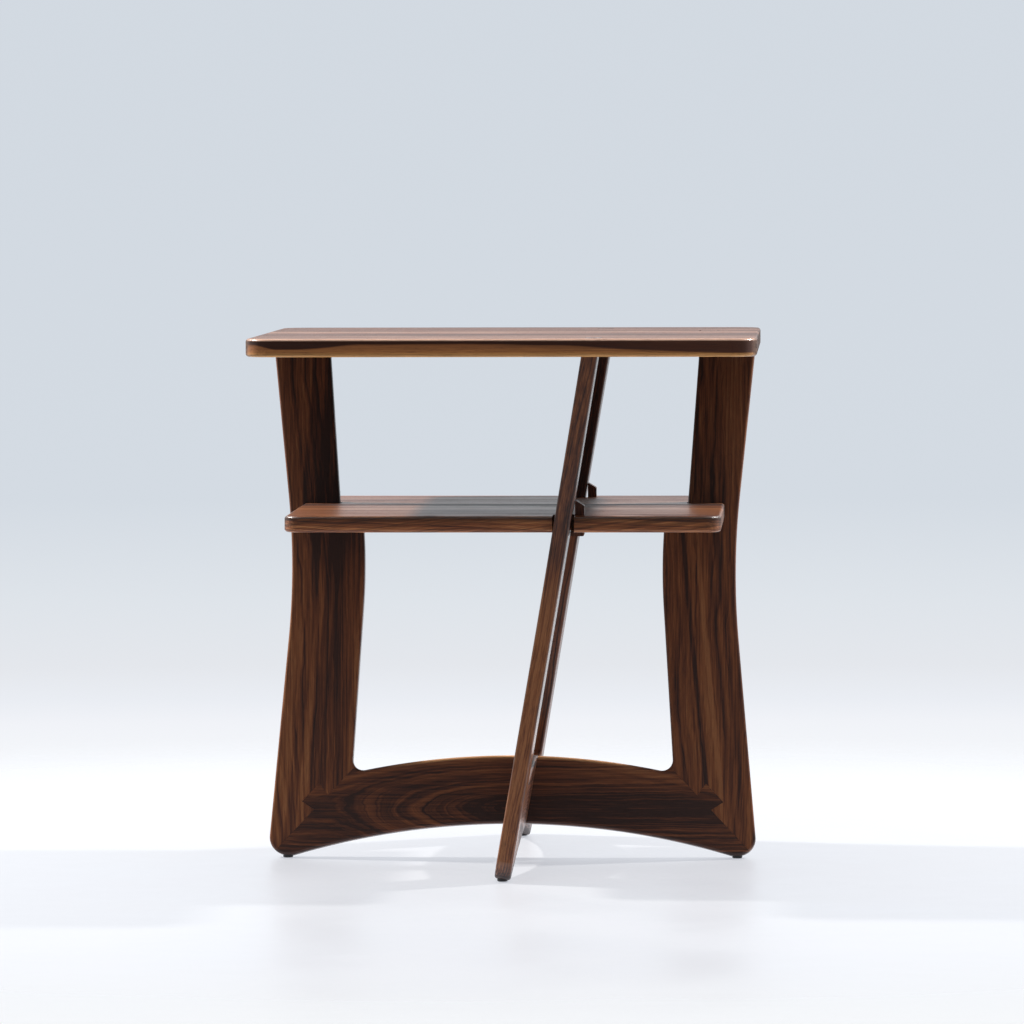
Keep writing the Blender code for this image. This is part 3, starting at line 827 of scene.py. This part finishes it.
def add_glide(short, cross, side, foot, material):
    """Black glide with a rounded rim, and its seat in the foot."""
    steps = 6
    turns = [math.pi / 2 * i / steps for i in range(steps + 1)]
    rounded = [(GLIDE_RADIUS - GLIDE_RIM * (1 - math.cos(t)), GLIDE_RIM * (1 - math.sin(t))) for t in turns]
    rounded = [(max(r, GLIDE_FLAT_RADIUS), z) for r, z in rounded]
    glide = turned("glide_foot_" + short, [
        (0, GLIDE_FLOOR), (GLIDE_CUP_RADIUS, GLIDE_FLOOR), (GLIDE_CUP_RADIUS, GLIDE_HEIGHT),
        (GLIDE_RADIUS, GLIDE_HEIGHT), *rounded, (0, 0)])
    place(glide, glide_spot(cross, side))
    finished(glide, material, ["glide_" + short])
    reach = GLIDE_HEIGHT + CLEAR
    radius = GLIDE_RADIUS + CLEAR
    cutter = turned("glide_seat_" + short, [(0, reach), (radius, reach), (radius, -reach), (0, -reach)])
    boolean(foot, place(cutter, glide_spot(cross, side)))


def key_wood(name, matrix):
    return walnut(name + "_wood", "Y", matrix, pith=(0.06, -0.09), shade=-0.09, seed=131.0)


def build_frames(black):
    rails = {}
    for cross, node in ((False, "main_rail"), (True, "cross_rail")):
        rail = frame_piece(node + "_walnut", cross, rail_region())
        heights = (-FAR, LAP_Z + JOINT / 2) if cross else (LAP_Z - JOINT / 2, FAR)
        boolean(rail, leaning_box(node + "_lap_cut", not cross, LAP_SPAN, BOARD + 2 * JOINT, heights))
        rails[cross] = rail
    for node, (cross, side, short) in LEGS.items():
        leg = frame_piece(node + "_walnut", cross, leg_region(side))
        shape_leg(leg, cross, side, node)
        wood = walnut(node + "_wood", "Y", board_place(cross), **LEG_WOOD[node])
        finished(leg, wood, [node])
        add_wedge(short, cross, side)
        add_glide(short, cross, side, rails[cross], black)
    for cross, node in ((False, "main_rail"), (True, "cross_rail")):
        wood = walnut(node + "_wood", "X", board_place(cross), **RAIL_WOOD[cross])
        finished(rails[cross], wood, [node])


def finish_nails(steel):
    for _, _, short in LEGS.values():
        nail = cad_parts["glide_nail_" + short]
        nail.data.materials.clear()
        nail.data.materials.append(steel)


# ---------------------------------------------------------------- top and shelf

# From the front to the back
TOP_WOOD = [
    dict(pith=(-0.30, -0.20), tilt=0.02, shade=-0.03, seed=51.0, band=top_front_edge,
         stripes=[(-282, 0.16), (-250, 0.14), (-225, 0.02), (-190, 0.06), (-150, -0.05)]),
    dict(pith=(0.05, -0.17), tilt=0.05, shade=-0.10, seed=57.0,
         stripes=[(-141, 0.04), (-110, -0.04), (-50, -0.03), (-20, 0.05), (0, 0.06)]),
    dict(pith=(-0.10, -0.22), tilt=-0.03, shade=-0.05, seed=63.0,
         stripes=[(0, 0.05), (28, 0.08), (36, 0.22), (58, 0.22), (66, -0.06), (141, -0.06)]),
    dict(pith=(0.12, -0.16), tilt=0.04, shade=-0.12, seed=69.0),
]
SHELF_WOOD = [
    dict(pith=(-0.24, -0.13), tilt=0.05, shade=0.17, seed=81.0, band=shelf_front_edge_shade),
    dict(pith=(0.02, -0.15), tilt=-0.05, shade=0.15, seed=87.0,
         stripes=[(-124, 0.03), (-95, 0.0), (-84, 0.30), (-60, 0.30), (-50, -0.03), (-22, -0.08),
                  (0, -0.14)]),
    dict(pith=(-0.08, -0.18), tilt=0.03, shade=0.10, seed=93.0,
         stripes=[(0, -0.20), (10, -0.34), (36, -0.34), (44, 0.05), (80, 0.06), (124, -0.06)]),
    dict(pith=(0.10, -0.14), tilt=-0.04, shade=0.03, seed=99.0),
]


def panel_outline(side, corner):
    half = side / 2
    return rounded_outline([(half, -half, corner), (half, half, corner),
                            (-half, half, corner), (-half, -half, corner)])


def add_staves(name, side, corner, low_z, high_z):
    """A glued-up board as separate staves that run along X, numbered from the front."""
    width = side / STAVES
    staves = []
    for i in range(STAVES):
        stave = add_plate(f"{name}_{i + 1}_walnut", panel_outline(side, corner), high_z - low_z)
        round_edges(stave, PANEL_ROUND)
        place(stave, Matrix.Translation((0, 0, (low_z + high_z) / 2)))
        low = -side / 2 + i * width + GLUE / 2
        high = low + width - GLUE
        if i == 0:
            low = -FAR
        if i == STAVES - 1:
            high = FAR
        boolean(stave, add_box(f"{name}_{i + 1}_strip", (-FAR, low, 0), (FAR, high, FAR)), "INTERSECT")
        staves.append((stave, low, high))
    return staves


def stave_at(staves, cross, u, y):
    spot = (frame_turn(cross) @ Vector((u, y, 0))).y
    return next(stave for stave, low, high in staves if low < spot < high)


def build_top():
    staves = add_staves("top_stave", TOP_SIDE, TOP_CORNER, TOP_UNDER_Z, HEIGHT)
    heights = (SHELF_TOP_Z, HEIGHT + BOARD)
    for cross, side, short in LEGS.values():
        u = across(side, TENON_INNER_U - JOINT, TENON_OUTER_U + JOINT)
        mortise = leaning_box("mortise_" + short, cross, u, BOARD + 2 * JOINT, heights)
        boolean(stave_at(staves, cross, tenon_middle(side), HEIGHT * LEAN_SLOPE), mortise)
    for i, (stave, _, _) in enumerate(staves):
        wood = walnut(f"top_stave_{i + 1}_wood", "X", stave.matrix_world.copy(), rough=0.37, shine=0.36,
                      oil=0.0, palette=PANEL_WOOD, **TOP_WOOD[i])
        finished(stave, wood, [f"top_stave_{i + 1}"])


def build_shelf():
    staves = add_staves("shelf_stave", SHELF_SIDE, SHELF_CORNER, SHELF_UNDER_Z, SHELF_TOP_Z)
    heights = (SHELF_UNDER_Z - BOARD, SHELF_TOP_Z + BOARD)
    pocket_y = (NOTCH_HIGH - POCKET_OVERLAP, KEY_NEAR + KEY_THICK + JOINT)
    for cross, side, short in LEGS.values():
        stave = stave_at(staves, cross, side * KEY_INNER_U, NOTCH_HIGH)
        notch_u = across(side, SEAT_U - CLEAR, FAR)
        boolean(stave, upright_box("notch_" + short, cross, notch_u, (NOTCH_LOW, NOTCH_HIGH), heights))
        pocket_u = across(side, KEY_INNER_U - JOINT, KEY_OUTER_U + JOINT)
        boolean(stave, upright_box("pocket_" + short, cross, pocket_u, pocket_y, heights))
        add_key(short, cross, side)
    for i, (stave, _, _) in enumerate(staves):
        wood = walnut(f"shelf_stave_{i + 1}_wood", "X", stave.matrix_world.copy(), rough=0.37, shine=0.5,
                      oil=0.0, **SHELF_WOOD[i])
        finished(stave, wood, [f"shelf_stave_{i + 1}"])


def add_key(short, cross, side):
    """Upright key beside a leg: a stem through the shelf with a sloped top, and a heel under the shelf."""
    stem_left, stem_right = KEY_NEAR, KEY_NEAR + KEY_THICK
    top = SHELF_TOP_Z + KEY_ABOVE
    heel_top = SHELF_UNDER_Z - JOINT
    outline = rounded_outline([
        (stem_left - HEEL_REACH, SHELF_UNDER_Z - KEY_BELOW, 0),
        (stem_right, SHELF_UNDER_Z - KEY_BELOW, KEY_ROUND),
        (stem_right, top - KEY_THICK * math.tan(KEY_FALL), KEY_ROUND),
        (stem_left, top, KEY_ROUND / 2),
        (stem_left, heel_top, 0),
        (stem_left - HEEL_REACH, heel_top, 0),
    ])
    key = add_plate("key_" + short, outline, KEY_OUTER_U - KEY_INNER_U)
    spot = frame_turn(cross) @ turn_upright(side * (KEY_OUTER_U + KEY_INNER_U) / 2)
    finished(place(key, spot), key_wood("key_" + short, spot), ["shelf_key_" + short])


# ---------------------------------------------------------------- stage, light and camera

FLOOR_RADIUS = 6.0
FLOOR_FADE = (0.9, 1.75)            # distances between which the floor fades into the backdrop
KEY_SIZE = (0.16, 0.16)
KEY_COLOUR = (1.0, 0.975, 0.95)
LIGHT_AIM = Vector((0, 0, 0.35))
CAMERA_PLACE = Vector((0.3406, -7.5891, 0.7771))
CAMERA_YAW = math.radians(2.566)    # to the left of +Y
CAMERA_PITCH = math.radians(2.874)  # down
CAMERA_ROLL = math.radians(-0.141)
CAMERA_LENS = 234.45


def build_floor():
    """A pale floor that fades out round the object, and shines a little so that its shadows stay soft."""
    bm = bmesh.new()
    bmesh.ops.create_circle(bm, cap_ends=True, radius=FLOOR_RADIUS, segments=96)
    mesh = bpy.data.meshes.new("floor")
    bm.to_mesh(mesh)
    bm.free()
    floor = add_object("floor", mesh)
    g = Graph("floor_paint")
    where = g.node("TexCoord").outputs["Object"]
    distance = g.node("VectorMath", {0: where}, operation="LENGTH").outputs["Value"]
    smudge = g.noise(where, detail=4.0, roughness=0.55, scale=3.0)
    colour = g.ramp(smudge, [(0.3, (0.164, 0.166, 0.168)), (0.7, (0.176, 0.178, 0.180))])
    g.feed(g.shader.inputs["Base Color"], colour)
    g.feed(g.shader.inputs["Roughness"], g.spread(smudge, 0.3, 0.7, 0.32, 0.45))
    g.shader.inputs["Specular IOR Level"].default_value = 0.2
    g.shader.inputs["Emission Color"].default_value = (0.96, 0.99, 1.08, 1.0)
    g.shader.inputs["Emission Strength"].default_value = 0.48
    g.feed(g.shader.inputs["Alpha"], g.spread(distance, *FLOOR_FADE, 1.0, 0.0))
    mesh.materials.append(g.material)


def build_world():
    """A pale studio all round: what the camera sees behind the floor, and a dimmer room for the light."""
    world = bpy.data.worlds.new("studio")
    bpy.context.scene.world = world
    world.use_nodes = True
    tree = world.node_tree
    tree.nodes.clear()

    def node(kind, **inputs):
        made = tree.nodes.new("ShaderNode" + kind)
        for key, value in inputs.items():
            if isinstance(value, bpy.types.NodeSocket):
                tree.links.new(value, made.inputs[key])
            else:
                made.inputs[key].default_value = value
        return made

    def ramp(value, low, high, stops):
        spread = node("MapRange", **{"Value": value, "From Min": low, "From Max": high})
        made = node("ValToRGB", Fac=spread.outputs[0])
        fill_ramp(made.color_ramp, [((height - low) / (high - low), colour) for height, colour in stops])
        return made.outputs[0]

    direction = node("SeparateXYZ", Vector=node("TexCoord").outputs["Generated"]).outputs
    seen = ramp(direction[2], -0.10, 0.02, [
        (-0.0934, (0.935, 0.950, 0.970)), (-0.0874, (0.913, 0.935, 0.965)), (-0.0814, (0.880, 0.896, 0.939)),
        (-0.0780, (0.825, 0.850, 0.900)), (-0.0730, (0.778, 0.800, 0.842)), (-0.0634, (0.737, 0.776, 0.823)),
        (-0.0480, (0.658, 0.708, 0.768)), (0.0, (0.648, 0.698, 0.758))])
    light = ramp(direction[1], -1.0, 1.0, [
        (-1.0, (0.10, 0.103, 0.106)), (-0.2, (0.26, 0.27, 0.28)), (0.2, (0.62, 0.66, 0.70)),
        (1.0, (0.74, 0.79, 0.84))])
    low = node("MapRange", **{"Value": direction[2], "From Min": -0.15, "From Max": 0.03, "To Min": 1.3,
                              "To Max": 0.9})
    rays = node("LightPath").outputs["Is Camera Ray"]
    mix = tree.nodes.new("ShaderNodeMixShader")
    tree.links.new(rays, mix.inputs[0])
    tree.links.new(node("Background", Color=light, Strength=low.outputs[0]).outputs[0], mix.inputs[1])
    tree.links.new(node("Background", Color=seen, Strength=1.0).outputs[0], mix.inputs[2])
    tree.links.new(mix.outputs[0], node("OutputWorld").inputs["Surface"])


def add_softbox(name, position, size, power, colour=(1.0, 1.0, 1.0)):
    light = bpy.data.lights.new(name, "AREA")
    light.shape = "RECTANGLE"
    light.size, light.size_y = size
    light.energy = power
    light.color = colour
    obj = bpy.data.objects.new(name, light)
    bpy.context.scene.collection.objects.link(obj)
    obj.location = position
    obj.rotation_euler = (LIGHT_AIM - Vector(position)).to_track_quat("-Z", "Y").to_euler()


def build_lights():
    """Two small hard lights from behind on the left and right, and two wide soft ones."""
    add_softbox("softbox_left", (-2.3, 0.9, 2.6), KEY_SIZE, 192, KEY_COLOUR)
    add_softbox("softbox_right", (2.3, 1.2, 2.6), KEY_SIZE, 165, KEY_COLOUR)
    add_softbox("softbox_above", (0.0, -0.3, 3.3), (3.2, 3.2), 72)
    add_softbox("softbox_back", (0.0, 3.4, 2.4), (3.5, 1.0), 10)


def build_camera():
    """A long lens a little above the top, turned to the left and tipped slightly down."""
    level = math.cos(CAMERA_PITCH)
    forward = Vector((-math.sin(CAMERA_YAW) * level, math.cos(CAMERA_YAW) * level, -math.sin(CAMERA_PITCH)))
    right = Vector((math.cos(CAMERA_YAW), math.sin(CAMERA_YAW), 0))
    up = right.cross(forward)
    roll_cos, roll_sin = math.cos(CAMERA_ROLL), math.sin(CAMERA_ROLL)
    right, up = roll_cos * right + roll_sin * up, roll_cos * up - roll_sin * right
    data = bpy.data.cameras.new("camera")
    data.sensor_width = 36.0
    data.lens = CAMERA_LENS
    data.clip_start = 0.1
    data.clip_end = 100.0
    camera = bpy.data.objects.new("camera", data)
    bpy.context.scene.collection.objects.link(camera)
    axes = Matrix((right, up, -forward)).transposed().to_4x4()
    camera.matrix_world = Matrix.Translation(CAMERA_PLACE) @ axes
    bpy.context.scene.camera = camera


bpy.context.scene.view_settings.view_transform = "Standard"
build_frames(plastic())
build_top()
build_shelf()
finish_nails(bright_steel())
for cutter in CUTTERS:
    bpy.data.objects.remove(cutter)
build_floor()
build_world()
build_lights()
build_camera()
